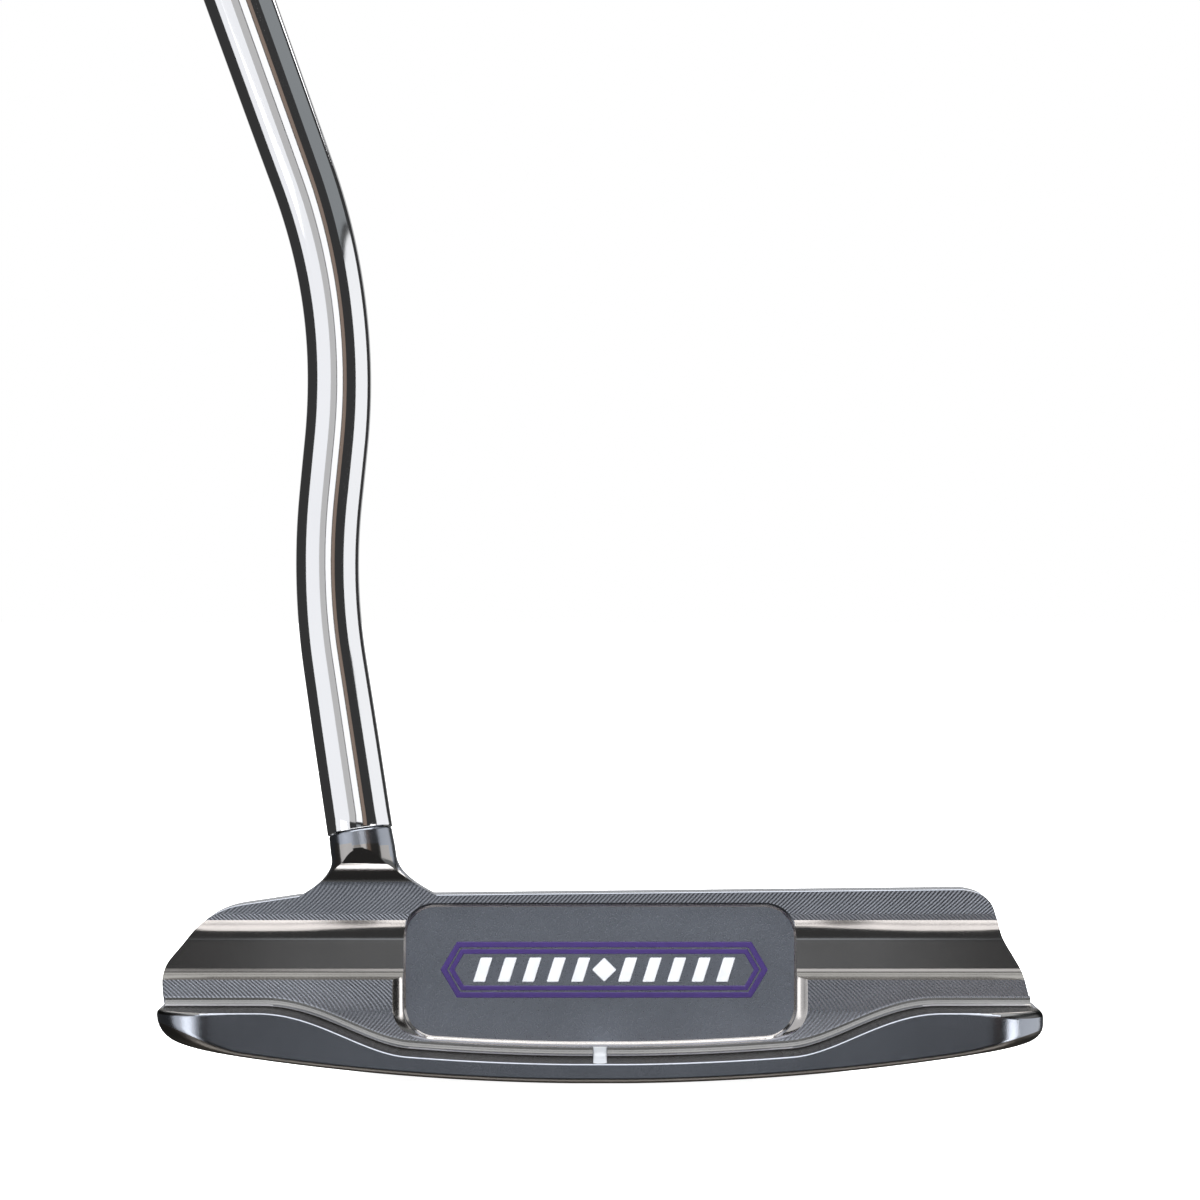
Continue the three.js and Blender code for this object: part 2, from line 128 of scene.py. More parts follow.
SOFT_BOXES = {
    # name: place, aimed at, width, height, brightness, colour
    "left_box": ((-0.74, -0.46, 0.10), (-0.02, 0.0, 0.10), 0.90, 1.00, 1.0, (0.97, 0.98, 1.0)),
    "left_low_box": ((-0.66, -0.50, -0.20), (-0.05, 0.0, -0.02), 0.34, 0.44, 1.7, (1.0, 1.0, 1.0)),
    "left_fill": ((-0.32, -0.88, 0.33), (-0.02, 0.0, 0.33), 0.36, 0.60, 0.52, (1.0, 0.99, 0.98)),
    "camera_box": ((0.06, -0.93, 0.34), (0.0, 0.0, 0.34), 0.34, 0.56, 1.15, (1.0, 1.0, 1.0)),
    "warm_card": ((0.36, -0.86, 0.28), (0.0, 0.0, 0.28), 0.20, 0.60, 0.22, (1.0, 0.72, 0.55)),
    "low_card": ((0.0, -0.90, -0.17), (0.0, 0.0, -0.17), 0.24, 0.30, 0.26, (0.90, 0.95, 1.0)),
    "right_box": ((0.80, 0.12, 0.00), (-0.02, 0.0, 0.00), 1.00, 0.80, 1.0, (0.98, 0.99, 1.0)),
    "right_low_box": ((0.70, -0.54, -0.20), (0.05, 0.0, -0.02), 0.34, 0.44, 3.3, (1.0, 1.0, 1.0)),
    "right_high_box": ((0.82, 0.08, 0.62), (-0.02, 0.0, 0.15), 1.10, 0.36, 0.24, (0.9, 0.97, 1.0)),
    "overhead_box": ((0.0, 0.00, 1.0), (0.0, 0.0, 0.0), 1.6, 0.90, 3.2, (1.0, 1.0, 1.0)),
    "fore_box": ((0.0, -0.72, 0.90), (0.0, 0.0, 0.0), 1.6, 0.42, 3.0, (1.0, 1.0, 1.0)),
    "face_box": ((0.0, 1.20, 0.15), (0.0, 0.0, 0.08), 1.0, 0.70, 0.45, (1.0, 1.0, 1.0)),
    "back_top_box": ((0.0, 0.95, 0.85), (0.0, 0.0, 0.0), 1.6, 0.65, 3.0, (1.0, 1.0, 1.0)),
    "low_front_box": ((0.0, -0.37, -0.87), (0.0, 0.0, 0.0), 1.8, 0.32, 5.0, (1.0, 1.0, 1.0)),
    "under_box": ((0.0, 0.35, -0.9), (0.0, 0.0, 0.0), 1.6, 0.9, 0.2, (1.0, 0.95, 0.85)),
}
for name, (place, target, width, height, brightness, colour) in SOFT_BOXES.items():
    lamp = bpy.data.lights.new(name, "AREA")
    lamp.shape = "RECTANGLE"
    lamp.size = width
    lamp.size_y = height
    lamp.energy = brightness * math.pi * width * height
    lamp.color = colour
    box = bpy.data.objects.new(name, lamp)
    box.location = place
    aim = Vector(target) - Vector(place)
    box.rotation_euler = aim.to_track_quat("-Z", "Y").to_euler()
    box.visible_camera = False
    bpy.context.collection.objects.link(box)

# The head is milled from one block of carbon steel: a blade with a flange behind it that rises to a bumper
# at each end, and a short neck. It is bead blasted and given a dark vapour coating. Here each milled form is
# made on its own, then joined and cut as the mill cuts it. Sizes are in millimetres.
MM = 0.001
head_low, head_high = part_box("head_body")
HALF_LENGTH = (head_high.x - head_low.x) / 2 / MM
REAR = head_low.y / MM
BACK_Y = 11.0
FACE_Y = 18.4
LOFT = math.radians(3.0)
TOPLINE_Z = 26.5
FACE_TOP_Z = 26.6  # where the face's cut ends, just over the topline
CAMBER_RADIUS = 345.0
SOLE_FLAT = 4.0
FLANGE_THICKNESS = 2.8
BUMPER_Z = 9.9
SWEEP_START = 27.0
SWEEP_END = 48.0
CORNER_RADIUS = 8.0
FRONT_CORNER = 2.0
TRIM = 1.0  # spare metal that the face cut takes off
REACH = 80.0  # of a cutter past the head


def smooth(value):
    value = min(1.0, max(0.0, value))
    return value * value * (3.0 - 2.0 * value)


def camber(x):
    """The sole's rise above its flat strip."""

    def arc(v):
        return CAMBER_RADIUS - math.sqrt(CAMBER_RADIUS**2 - v * v)

    return max(0.0, arc(x) - arc(SOLE_FLAT))


def flange_top(x):
    """The height of the flange's top, which sweeps up to the bumpers."""
    rise = smooth((abs(x) - SWEEP_START) / (SWEEP_END - SWEEP_START))
    low = camber(x) + FLANGE_THICKNESS
    return low + (BUMPER_Z - low) * rise


def face_y(z):
    return FACE_Y - z * math.tan(LOFT)


def wall_faces(size, count, closes=False):
    """Faces between rings that follow each other, and from the last ring to the first where it closes."""
    faces = []
    for k in range(count if closes else count - 1):
        n = (k + 1) % count
        for i in range(size):
            j = (i + 1) % size
            faces.append((k * size + i, k * size + j, n * size + j, n * size + i))
    return faces


def closed(name, vertices, faces):
    """A closed body from points in millimetres, with Y from the flange's rear and faces turned outwards."""
    body = new_mesh_object(name, [(x * MM, (y + REAR) * MM, z * MM) for x, y, z in vertices], faces)
    work = bmesh.new()
    work.from_mesh(body.data)
    bmesh.ops.remove_doubles(work, verts=work.verts, dist=0.0005 * MM)
    bmesh.ops.recalc_face_normals(work, faces=work.faces)
    work.to_mesh(body.data)
    work.free()
    return body


def lofted(name, rings):
    """A closed body through rings with the same number of points, flat at both ends."""
    size = len(rings[0])
    points = [p for ring in rings for p in ring]
    faces = [tuple(range(size)), tuple(range(len(points) - size, len(points)))]
    return closed(name, points, faces + wall_faces(size, len(rings)))


def pushed_along_y(name, outline, near, far):
    return lofted(name, [[(x, y, z) for x, z in outline] for y in (near, far)])


def pushed_along_x(name, outline, near, far):
    return lofted(name, [[(x, y, z) for y, z in outline] for x in (near, far)])


def arc_points(centre, radius, start, end, steps):
    turns = [start + (end - start) * i / steps for i in range(steps + 1)]
    return [(centre[0] + radius * math.cos(a), centre[1] + radius * math.sin(a)) for a in turns]


def through(points, steps=6):
    """A smooth curve through points."""
    p = np.array([points[0], *points, points[-1]], float)
    found = []
    for i in range(1, len(p) - 2):
        for t in np.arange(steps) / steps:
            a = 2 * p[i]
            b = p[i + 1] - p[i - 1]
            c = 2 * p[i - 1] - 5 * p[i] + 4 * p[i + 1] - p[i + 2]
            d = -p[i - 1] + 3 * p[i] - 3 * p[i + 1] + p[i + 2]
            found.append(tuple(0.5 * (a + b * t + c * t * t + d * t**3)))
    return [*found, tuple(points[-1])]


def baked(body):
    """Applies the body's own modifiers."""
    graph = bpy.context.evaluated_depsgraph_get()
    made = bpy.data.meshes.new_from_object(body.evaluated_get(graph))
    body.modifiers.clear()
    body.data = made
    return body


def join_or_cut(body, other, operation):
    """Joins or cuts with another body, which is used up."""
    change = body.modifiers.new("mill", "BOOLEAN")
    change.operation = operation
    change.solver = "EXACT"
    change.object = other
    baked(body)
    bpy.data.objects.remove(other)


# Radii of the flange's edges: in the middle, at the heel and at the toe
FOOT_EDGE = (0.9, 3.3, 1.9)
TOP_EDGE = (0.22, 0.7, 1.3)
EDGE_CHANGE_START = 50.0
EDGE_CHANGE_REACH = 12.0


def flange_body():
    """The flange and its bumpers: a wall round the plan, rounded at its foot and its top edge."""
    straight = np.linspace(-(HALF_LENGTH - CORNER_RADIUS), HALF_LENGTH - CORNER_RADIUS, 141)
    turn_steps = 20
    front = FACE_Y + TRIM
    rear = [((x, 0.0), (0.0, 1.0)) for x in straight]
    ahead = [((x, front), (0.0, -1.0)) for x in straight]
    for side in (1, -1):
        rear_end, front_end = [], []
        for i in range(1, turn_steps + 1):
            a = i / turn_steps * math.pi / 2
            x = HALF_LENGTH - CORNER_RADIUS * (1.0 - math.sin(a))
            y = CORNER_RADIUS * (1.0 - math.cos(a))
            rear_end.append(((side * x, y), (-side * math.sin(a), math.cos(a))))
            b = max(0.0, i / turn_steps * 2 - 1) * math.pi / 2
            run = min(1.0, i / turn_steps * 2) * (CORNER_RADIUS - FRONT_CORNER)
            x = HALF_LENGTH - CORNER_RADIUS + run + FRONT_CORNER * math.sin(b)
            y = front - FRONT_CORNER * (1.0 - math.cos(b))
            front_end.append(((side * x, y), (-side * math.sin(b), -math.cos(b))))
        if side > 0:
            rear += rear_end
            ahead += front_end
        else:
            rear = rear_end[::-1] + rear
            ahead = front_end[::-1] + ahead
    stations = rear + ahead[::-1]

    def edge_radius(x, middle, heel, toe):
        ends = smooth((abs(x) - EDGE_CHANGE_START) / EDGE_CHANGE_REACH)
        return middle + ((toe if x > 0 else heel) - middle) * ends

    rings = []
    quarter = [i / 7 * math.pi / 2 for i in range(8)]
    for a in quarter:
        ring = []
        for (x, y), (nx, ny) in stations:
            radius = edge_radius(x, *FOOT_EDGE)
            inset = radius * (1.0 - math.sin(a))
            px, py = x + nx * inset, y + ny * inset
            ring.append((px, py, camber(px) + radius * (1.0 - math.cos(a))))
        rings.append(ring)
    for a in quarter:
        ring = []
        for (x, y), (nx, ny) in stations:
            radius = edge_radius(x, *TOP_EDGE)
            inset = radius * (1.0 - math.cos(a))
            px, py = x + nx * inset, y + ny * inset
            ring.append((px, py, flange_top(px) - radius * (1.0 - math.sin(a))))
        rings.append(ring)

    size = len(stations)
    half = size // 2
    points = [p for ring in rings for p in ring]
    faces = wall_faces(size, len(rings))
    for first in (0, (len(rings) - 1) * size):
        for i in range(half - 1):
            faces.append((first + i, first + i + 1, first + size - 2 - i, first + size - 1 - i))
    return closed("flange", points, faces)


def blade_body():
    """The blade, from behind: a sloping heel, a flat top and a toe that falls in a long S."""
    heel = [(-43.0, 25.5), (-48.4, 24.7), (-51.6, 24.2), (-53.6, 23.6), (-55.4, 22.65), (-57.6, 20.9)]
    heel += [(-59.7, 18.4), (-61.6, 16.1), (-62.3, 14.4), (-62.36, 12.4), (-62.1, 10.2), (-61.7, 8.0)]
    toe = [(61.9, 8.0), (61.4, 10.1), (60.9, 12.1), (60.2, 14.6), (59.0, 16.8), (57.5, 19.4)]
    toe += [(56.65, 22.0), (55.95, 24.1), (55.2, 25.1), (54.3, 25.8), (53.1, 26.25), (51.8, TOPLINE_Z)]
    foot = [(x, camber(x) + 1.5) for x in np.linspace(-60.5, 60.5, 60)]
    outline = foot + through(toe) + through(heel)
    blade = pushed_along_y("head_milled", outline, BACK_Y, FACE_Y + TRIM)
    edge = blade.modifiers.new("broken_edge", "BEVEL")
    edge.width = 0.16 * MM
    edge.segments = 3
    edge.angle_limit = math.radians(50.0)
    return baked(blade)


def channel_cutter():
    """The ball-ended cutter's path from heel to toe: two concave sides and a flat floor."""
    depth, top, bottom, top_radius, bottom_radius = 1.15, 22.1, 13.6, 5.7, 1.7
    floor = BACK_Y + depth
    top_turn = math.acos(1.0 - depth / top_radius)
    bottom_turn = math.acos(1.0 - depth / bottom_radius)
    lower = (floor - bottom_radius, bottom + bottom_radius * math.sin(bottom_turn))
    upper = (floor - top_radius, top - top_radius * math.sin(top_turn))
    outline = [(0.0, bottom), (BACK_Y, bottom)]
    outline += arc_points(lower, bottom_radius, -bottom_turn, 0.0, 12)[1:]
    outline += arc_points(upper, top_radius, 0.0, top_turn, 14)
    outline.append((0.0, top))
    return pushed_along_x("channel_cut", outline, -REACH, REACH)


POCKET_HALF_WIDTH = 27.85
POCKET_TOP = 23.95
POCKET_BOTTOM = 4.5
POCKET_CORNER = 4.4
POCKET_FLOOR_Y = BACK_Y + 2.2
RECESS_DEPTH = 1.7


def pocket_outline():
    """Points and outward directions round the badge pocket, whose lower side follows the sole."""
    inner = POCKET_HALF_WIDTH - POCKET_CORNER
    found = []
    for x in np.linspace(-inner, inner, 49)[1:-1]:
        found.append(((x, POCKET_BOTTOM + camber(x)), (0.0, -1.0)))
    low = POCKET_BOTTOM + camber(inner) + POCKET_CORNER
    high = POCKET_TOP - POCKET_CORNER
    heights = {-90: np.linspace(low, high, 14)[1:-1], 90: np.linspace(high, low, 14)[1:-1]}
    corners = [(inner, low, -90), (inner, high, 0), (-inner, high, 90), (-inner, low, 180)]
    for cx, cz, start in corners:
        for i in range(15):
            a = math.radians(start + i / 14 * 90.0)
            way = (math.cos(a), math.sin(a))
            found.append(((cx + POCKET_CORNER * way[0], cz + POCKET_CORNER * way[1]), way))
        if start in heights:
            side = math.copysign(1.0, cx)
            found += [((side * POCKET_HALF_WIDTH, z), (side, 0.0)) for z in heights[start]]
    return found


# The pocket's walls from the edge inwards, as share of the wall's width against depth
SIDE_WALL = [(1.0, 0.0), (1.0, 0.12), (0.88, 0.2), (0.72, 0.28), (0.56, 0.37)]
SIDE_WALL += [(0.4, 0.47), (0.25, 0.58), (0.1, 0.75), (0.0, RECESS_DEPTH)]
TOP_WALL = [(1.0 - i / 8, RECESS_DEPTH * i / 8) for i in range(9)]
FOOT_WALL = [(math.cos(i / 16 * math.pi), RECESS_DEPTH * math.sin(i / 16 * math.pi)) for i in range(9)]


def pocket_cutter():
    """A recess whose walls differ by side, then a small chamfer and the pocket itself."""
    outline = pocket_outline()

    def gap(point, way):
        """How far the recess reaches past the pocket. Its sides widen downwards."""
        narrow, widening, widening_top, widening_drop = 0.4, 1.35, 21.5, 9.0
        top_gap, foot_gap = 0.65, 0.5
        side = narrow + widening * smooth((widening_top - point[1]) / widening_drop)
        return side * way[0] ** 2 + (top_gap if way[1] > 0 else foot_gap) * way[1] ** 2

    def ring(share, extra, y):
        return [
            (p[0] + w[0] * (gap(p, w) * share + extra), y, p[1] + w[1] * (gap(p, w) * share + extra))
            for p, w in outline
        ]

    chamfer = 0.2
    floor_edge = 0.12
    recess = BACK_Y + RECESS_DEPTH
    rings = [ring(1.0, 0.0, 5.0)]
    for i in range(9):
        wall = []
        for p, w in outline:
            side, end = SIDE_WALL[i], (TOP_WALL if w[1] > 0 else FOOT_WALL)[i]
            share = side[0] * w[0] ** 2 + end[0] * w[1] ** 2
            depth = side[1] * w[0] ** 2 + end[1] * w[1] ** 2
            out = gap(p, w) * share + chamfer * depth / RECESS_DEPTH
            wall.append((p[0] + w[0] * out, BACK_Y + depth, p[1] + w[1] * out))
        rings.append(wall)
    rings.append(ring(0.0, 0.0, recess + chamfer))
    rings.append(ring(0.0, 0.0, POCKET_FLOOR_Y - floor_edge))
    rings.append(ring(0.0, -floor_edge, POCKET_FLOOR_Y))
    return lofted("pocket_cut", rings)


def fillet_bar():
    """The small concave fillet that the cutter leaves where the flange's top meets the blade."""
    radius, ledge, sink = 1.4, 0.05, 0.3
    rings = []
    for x in np.linspace(-61.9, 61.3, 161):
        z = flange_top(x) - 0.01
        curve = [
            (BACK_Y - ledge - radius * (1.0 - math.cos(a)), z + radius * (1.0 - math.sin(a)))
            for a in np.linspace(0.0, math.pi / 2, 11)
        ]
        back = [(BACK_Y - radius, z - sink), (BACK_Y + sink, z - sink), (BACK_Y + sink, z + radius)]
        rings.append([(x, y, h) for y, h in curve + back])
    return lofted("flange_fillet", rings)


# The middle of the neck's rim, and the corners that the shaft's two bends round off
RIM = Vector((-34.3, 14.0, 34.5))
LOWER_BEND = Vector((-40.05, 19.4, 70.5))
UPPER_BEND = Vector((-36.2, 21.2, 110.2))
NECK_RADIUS = 4.55
POST_RADIUS = 3.5
POST_LENGTH = 20.0
POST_CHAMFER = 0.5


def neck_body():
    """The neck flares into the blade, and carries the post that the shaft slides over."""
    lower = (LOWER_BEND - RIM).normalized()
    across = (Vector((0.0, 1.0, 0.0)) - lower * lower.y).normalized()
    front = across.cross(lower)
    foot = 10.2
    size = 96
    rings = []

    def ring(distance, half_width, half_depth, square):
        level = smooth((-distance) / 6.0)
        u = front.lerp(Vector((1.0, 0.0, 0.0)), level).normalized()
        v = across.lerp(Vector((0.0, 1.0, 0.0)), level).normalized()
        centre = RIM + lower * distance
        points = []
        for i in range(size):
            a = i / size * 2 * math.pi
            c, s = math.cos(a), math.sin(a)
            power = 2.0 / (2.0 + square)
            du = math.copysign(abs(c) ** power, c) * half_width
            dv = math.copysign(abs(s) ** power, s) * half_depth
            points.append(tuple(centre + u * du + v * dv))
        rings.append(points)

    flare_top, flare_drop, flare_width, squareness = 31.0, 5.0, 4.4, 1.2
    for i in range(31):
        distance = -foot * (1.0 - i / 30)
        z = RIM.z + lower.z * distance
        down = max(0.0, flare_top - z)
        width = NECK_RADIUS + 0.1 * smooth(-distance / 3.0) + flare_width * (down / flare_drop) ** 2
        ring(min(distance, -0.25), width, NECK_RADIUS, squareness * smooth(down / flare_drop))
    rim_and_post = [(-0.08, NECK_RADIUS - 0.06), (0.0, NECK_RADIUS - 0.24), (0.0, POST_RADIUS)]
    rim_and_post += [(POST_LENGTH - POST_CHAMFER, POST_RADIUS), (POST_LENGTH, POST_RADIUS - POST_CHAMFER)]
    for distance, radius in rim_and_post:
        ring(distance, radius, radius, 0.0)
    return lofted("neck", rings)


def neck_cutter(side):
    """What the mill takes off behind the neck (side -1) or in front of it (side 1)."""
    curve = np.linspace(0.1, 1.0, 10)
    if side < 0:
        start, rise, run_out, top = 26.9, 3.35, 1.13, 32.75
        outline = [(-20.0, 0.0), (BACK_Y, 0.0), (BACK_Y, start)]
        outline += [(BACK_Y - run_out * t * t, start + rise * t) for t in curve]
        outline += [(9.0, top), (-20.0, top)]
    else:
        start, rise, run_out, top = FACE_TOP_Z, 3.4, 1.2, 32.6
        outline = [(60.0, 0.0), (face_y(0.0), 0.0), (face_y(start), start)]
        outline += [(face_y(start) + run_out * t * t, start + rise * t) for t in curve]
        outline += [(18.8, top), (60.0, top)]
    return pushed_along_x("neck_cut", outline, -REACH, REACH)


SIGHT_WIDTH = 2.0
SIGHT_DEPTH = 0.4
SIGHT_END_Y = 0.55
SIGHT_CUT_TOP = 12.0


def sight_plan(half, end_y):
    """The sight mark's plan: a slot with a round end towards the rear."""
    outline = arc_points((0.0, end_y + half), half, math.pi, 2 * math.pi, 20)
    return [*outline, (half, BACK_Y + SIGHT_DEPTH), (-half, BACK_Y + SIGHT_DEPTH)]


def sight_cutter():
    plan = sight_plan(SIGHT_WIDTH / 2, SIGHT_END_Y)
    heights = (FLANGE_THICKNESS - SIGHT_DEPTH, SIGHT_CUT_TOP)
    return lofted("sight_cut", [[(x, y, z) for x, y in plan] for z in heights])


head = blade_body()
join_or_cut(head, channel_cutter(), "DIFFERENCE")
join_or_cut(head, flange_body(), "UNION")
join_or_cut(head, fillet_bar(), "UNION")
join_or_cut(head, pocket_cutter(), "DIFFERENCE")
neck = neck_body()
join_or_cut(neck, neck_cutter(-1), "DIFFERENCE")
join_or_cut(neck, neck_cutter(1), "DIFFERENCE")
join_or_cut(head, neck, "UNION")
face_cut = [(face_y(-20.0), -20.0), (60.0, -20.0), (60.0, FACE_TOP_Z), (face_y(FACE_TOP_Z), FACE_TOP_Z)]
join_or_cut(head, pushed_along_x("face_cut", face_cut, -REACH, REACH), "DIFFERENCE")
join_or_cut(head, sight_cutter(), "DIFFERENCE")

# Each milled area gets its own finish, told from where a face lies and which way it looks. Four of them are
# lighter or darker copies of the same steel, picked by which way the face looks: a painted highlight on the
# channel's upper fillet, and painted shade on the sole's edge, the channel's lower fillet and the flange's
# fillet.
BLASTED, SCALLOPED, SMOOTH_CUT, FACE, LEDGE = range(5)
BLASTED_POCKET, SOLE_PAINTED_SHADE, UPPER_FILLET_PAINTED_LIGHT, LOWER_FILLET_PAINTED_SHADE, LEDGE_FILLET_PAINTED_SHADE = range(5, 10)


def finish_or_painted_light_of(centre, normal):
    x, y, z = centre / MM
    y -= REAR
    if normal.y > 0.995 and z < TOPLINE_Z:
        return FACE
    # Down-facing faces along the sole get a darker copy of the steel: painted shade.
    if normal.z < -0.12 and z < 9.0 and y < FACE_Y and z < camber(x) + 4.0:
        return SOLE_PAINTED_SHADE
    in_pocket = abs(x) < 30.0 and 4.0 < z < 24.8 and y > BACK_Y + 0.02
    if in_pocket:
        return BLASTED_POCKET if y > POCKET_FLOOR_Y - 0.05 else SMOOTH_CUT
    if normal.y < -0.98 and abs(y - BACK_Y) < 0.06:
        return SCALLOPED
    if BACK_Y + 0.02 < y < BACK_Y + 1.3 and 13.5 < z < 22.2 and abs(normal.x) < 0.2:
        # The channel's upper fillet faces down and gets a bright copy of the smooth cut: a painted
        # highlight.
        if normal.z < -0.08:
            return UPPER_FILLET_PAINTED_LIGHT
        # The channel's lower fillet gets a dark copy of the smooth cut: painted shade.
        return LOWER_FILLET_PAINTED_SHADE if normal.z > 0.3 else SMOOTH_CUT
    if 0.2 < y < BACK_Y and normal.z > 0.15 and z < 12.0:
        # The flange's fillet gets a dark copy of the steel: painted shade.
        return LEDGE if normal.z > 0.85 else LEDGE_FILLET_PAINTED_SHADE
    if y < BACK_Y + 0.05 and 26.0 < z < 33.0:
        return SMOOTH_CUT
    return BLASTED


head.data.shade_smooth()
head.data.set_sharp_from_angle(angle=math.radians(28.0))
weight = head.modifiers.new("flat_faces_stay_flat", "WEIGHTED_NORMAL")
weight.mode = "FACE_AREA"
weight.keep_sharp = True


def dark_steel(name, colour, roughness, grain, grain_height, hatch_pitch, hatch_height, edge):
    """Dark vapour-coated steel with a blasted grain, and arcs from the cutter where hatch_height isn't 0."""
    material = bpy.data.materials.new(name)
    material.use_nodes = True
    nodes = material.node_tree.nodes
    links = material.node_tree.links
    nodes.clear()
    output = nodes.new("ShaderNodeOutputMaterial")
    output.label = "head surface"
    output.location = (1500, 0)
    shader = nodes.new("ShaderNodeBsdfPrincipled")
    shader.label = "dark coated steel"
    shader.location = (1200, 0)
    shader.inputs["Metallic"].default_value = 1.0
    shader.inputs["Specular Tint"].default_value = (edge, edge, edge, 1.0)
    place = nodes.new("ShaderNodeTexCoord")
    place.label = "place on the head"
    place.location = (-1000, 0)
    metres = nodes.new("ShaderNodeVectorMath")
    metres.label = "metres to millimetres"
    metres.location = (-800, 0)
    metres.operation = "SCALE"
    metres.inputs["Scale"].default_value = 1000.0
    links.new(place.outputs["Object"], metres.inputs["Vector"])

    colour_frame = nodes.new("NodeFrame")
    colour_frame.label = "coating shade"
    cloud = nodes.new("ShaderNodeTexNoise")
    cloud.label = "slow change of the coating"
    cloud.location = (-400, 500)
    cloud.parent = colour_frame
    cloud.inputs["Scale"].default_value = 0.12
    cloud.inputs["Detail"].default_value = 3.0
    shade = nodes.new("ShaderNodeMix")
    shade.label = "thin and thick coating"
    shade.data_type = "RGBA"
    shade.location = (0, 500)
    shade.parent = colour_frame
    shade.inputs[6].default_value = (*[c * 0.86 for c in colour], 1.0)
    shade.inputs[7].default_value = (*[min(1.0, c * 1.14) for c in colour], 1.0)
    links.new(metres.outputs["Vector"], cloud.inputs["Vector"])
    links.new(cloud.outputs["Fac"], shade.inputs["Factor"])
    links.new(shade.outputs[2], shader.inputs["Base Color"])

    grain_frame = nodes.new("NodeFrame")
    grain_frame.label = "blasted grain"
    speckle = nodes.new("ShaderNodeTexNoise")
    speckle.label = "bead marks"
    speckle.location = (-400, 100)
    speckle.parent = grain_frame
    speckle.inputs["Scale"].default_value = grain
    speckle.inputs["Detail"].default_value = 2.0
    gloss = nodes.new("ShaderNodeMapRange")
    gloss.label = "grain changes the gloss"
    gloss.location = (0, 100)
    gloss.parent = grain_frame
    gloss.inputs["To Min"].default_value = roughness - 0.06
    gloss.inputs["To Max"].default_value = roughness + 0.06
    pits = nodes.new("ShaderNodeBump")
    pits.label = "bead marks' height"
    pits.location = (300, 100)
    pits.parent = grain_frame
    pits.inputs["Strength"].default_value = 1.0
    pits.inputs["Distance"].default_value = grain_height * MM
    links.new(metres.outputs["Vector"], speckle.inputs["Vector"])
    links.new(speckle.outputs["Fac"], gloss.inputs["Value"])
    links.new(gloss.outputs["Result"], shader.inputs["Roughness"])
    links.new(speckle.outputs["Fac"], pits.inputs["Height"])
    links.new(pits.outputs["Normal"], shader.inputs["Normal"])

    if hatch_height:
        hatch_frame = nodes.new("NodeFrame")
        hatch_frame.label = "cutter's arcs"
        apart = nodes.new("ShaderNodeSeparateXYZ")
        apart.label = "along and up the blade"
        apart.location = (-600, -400)
        apart.parent = hatch_frame
        row = nodes.new("ShaderNodeMath")
        row.label = "height within one pass"
        row.operation = "PINGPONG"
        row.location = (-400, -400)
        row.parent = hatch_frame
        row.inputs[1].default_value = 4.6
        lag = nodes.new("ShaderNodeMath")
        lag.label = "an arc lags at the pass's edge"
        lag.operation = "POWER"
        lag.location = (-200, -400)
        lag.parent = hatch_frame
        lag.inputs[1].default_value = 1.35
        shifted = nodes.new("ShaderNodeMath")
        shifted.label = "place along the tool path"
        shifted.operation = "MULTIPLY_ADD"
        shifted.location = (0, -400)
        shifted.parent = hatch_frame
        shifted.inputs[1].default_value = 0.55
        waves = nodes.new("ShaderNodeMath")
        waves.label = "one arc for each turn of the tool"
        waves.operation = "MULTIPLY"
        waves.location = (200, -400)
        waves.parent = hatch_frame
        waves.inputs[1].default_value = 2 * math.pi / hatch_pitch
        crest = nodes.new("ShaderNodeMath")
        crest.label = "crest and hollow"
        crest.operation = "SINE"
        crest.location = (400, -400)
        crest.parent = hatch_frame
        scallops = nodes.new("ShaderNodeBump")
        scallops.label = "arcs' height"
        scallops.location = (700, -300)
        scallops.parent = hatch_frame
        scallops.inputs["Strength"].default_value = 1.0
        scallops.inputs["Distance"].default_value = hatch_height * MM
        links.new(metres.outputs["Vector"], apart.inputs["Vector"])
        links.new(apart.outputs["Z"], row.inputs[0])
        links.new(row.outputs["Value"], lag.inputs[0])
        links.new(lag.outputs["Value"], shifted.inputs[0])
        links.new(apart.outputs["X"], shifted.inputs[2])
        links.new(shifted.outputs["Value"], waves.inputs[0])
        links.new(waves.outputs["Value"], crest.inputs[0])
        links.new(crest.outputs["Value"], scallops.inputs["Height"])
        links.new(pits.outputs["Normal"], scallops.inputs["Normal"])
        links.new(scallops.outputs["Normal"], shader.inputs["Normal"])
    links.new(shader.outputs["BSDF"], output.inputs["Surface"])
    return material


